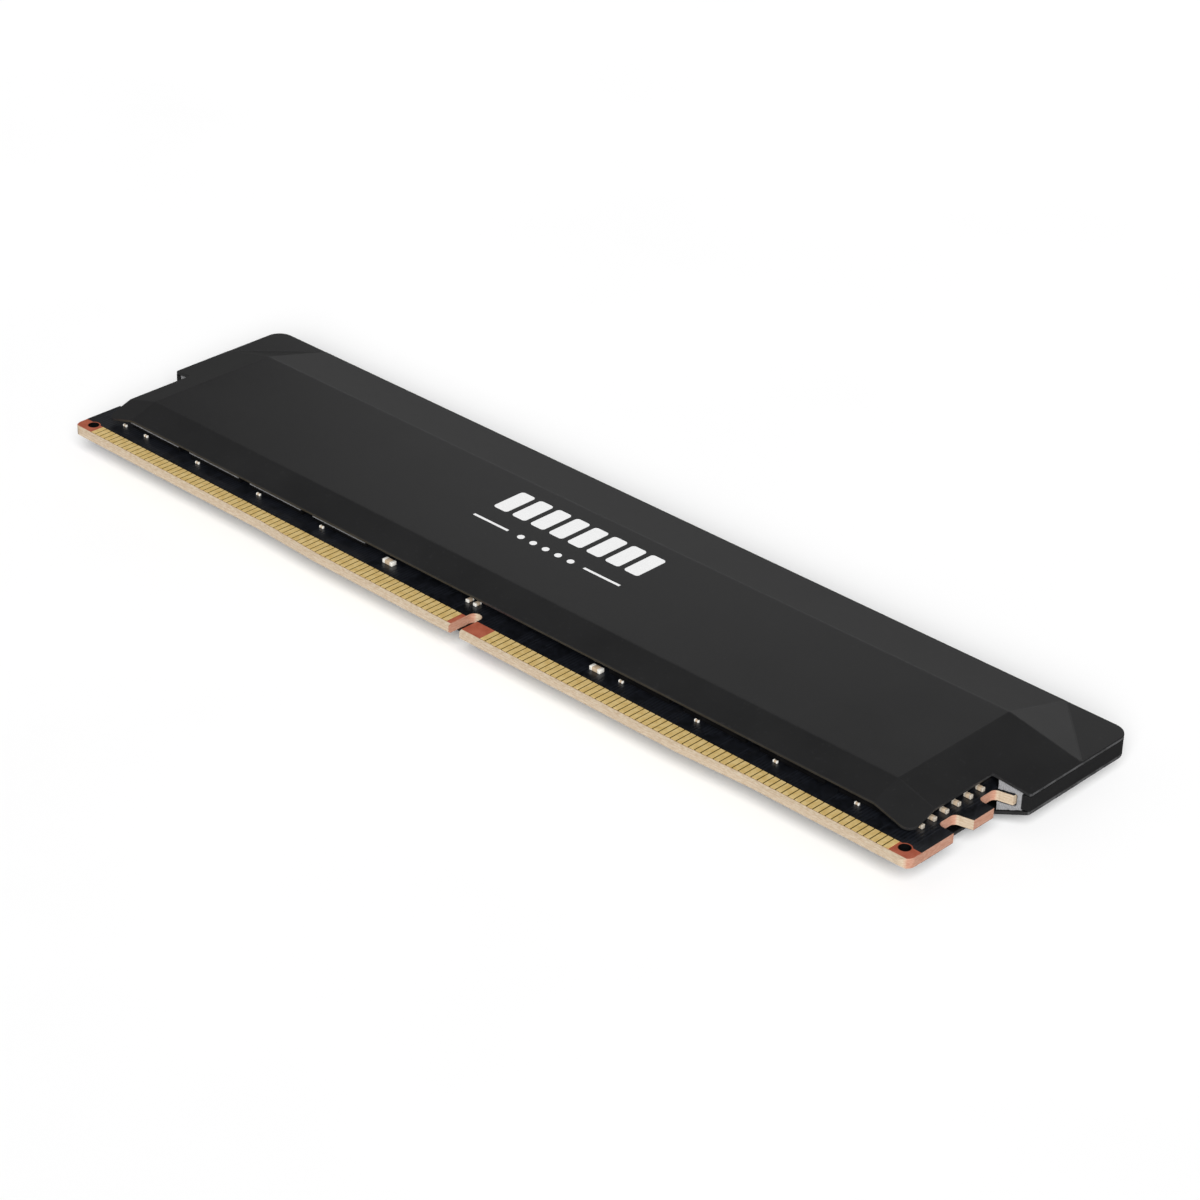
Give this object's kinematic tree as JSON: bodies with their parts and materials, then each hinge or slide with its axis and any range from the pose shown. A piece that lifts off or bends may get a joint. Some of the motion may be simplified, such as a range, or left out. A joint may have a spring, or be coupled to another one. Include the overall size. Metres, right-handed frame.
{
  "type": "ram module",
  "caption": "Desktop memory module: thin board with gold edge contacts and a key notch, between two faceted black covers with stepped wings.",
  "frame": {"origin": "centre of the bounding box in X and Y, on the outer face of the back cover's flat plateau in Z", "axes": "+X along the module's length towards the short contact group, +Y from the contact edge to the top edge, +Z from the back cover to the front cover"},
  "size_m": [0.1368, 0.0364, 0.0081],
  "materials": {
    "laminate": "satin",
    "solder_mask": "semi-gloss",
    "gold_contacts": "polished",
    "chip_package": "matt",
    "solder": "satin",
    "ferrite": "matt",
    "ceramic_capacitor": "satin",
    "capacitor_ends": "satin",
    "resistor": "satin",
    "thermal_pad": "matt",
    "foam": "matt",
    "frame_plastic": "satin",
    "cover_metal": "matt black",
    "label": "satin",
    "print": "satin"
  },
  "bodies": {
    "root": {"laminate_board": "laminate", "solder_mask_front": "solder_mask", "solder_mask_back": "solder_mask", "contacts_front_left": "gold_contacts", "contacts_front_right": "gold_contacts", "contacts_back_left": "gold_contacts", "contacts_back_right": "gold_contacts", "memory_chip_1": "chip_package", "memory_chip_2": "chip_package", "memory_chip_3": "chip_package", "memory_chip_4": "chip_package", "memory_chip_5": "chip_package", "memory_chip_6": "chip_package", "memory_chip_7": "chip_package", "memory_chip_8": "chip_package", "solder_balls": "solder", "power_chip": "chip_package", "power_inductors": "ferrite", "bulk_capacitors": "ceramic_capacitor", "hub_chip": "chip_package", "side_capacitors": "ceramic_capacitor", "front_capacitors": "ceramic_capacitor", "marker_capacitors": "capacitor_ends", "decoupling_capacitors": "ceramic_capacitor", "resistors": "resistor", "thermal_pads_left": "thermal_pad", "thermal_pads_right": "thermal_pad", "thermal_pad_power": "thermal_pad", "thermal_pad_back": "thermal_pad", "foam_pad_left": "foam", "foam_pad_right": "foam", "edge_frame": "frame_plastic", "cover_front": "cover_metal", "cover_back": "cover_metal", "blank_label": "label", "printed_mark": "print"}
  },
  "joints": []
}
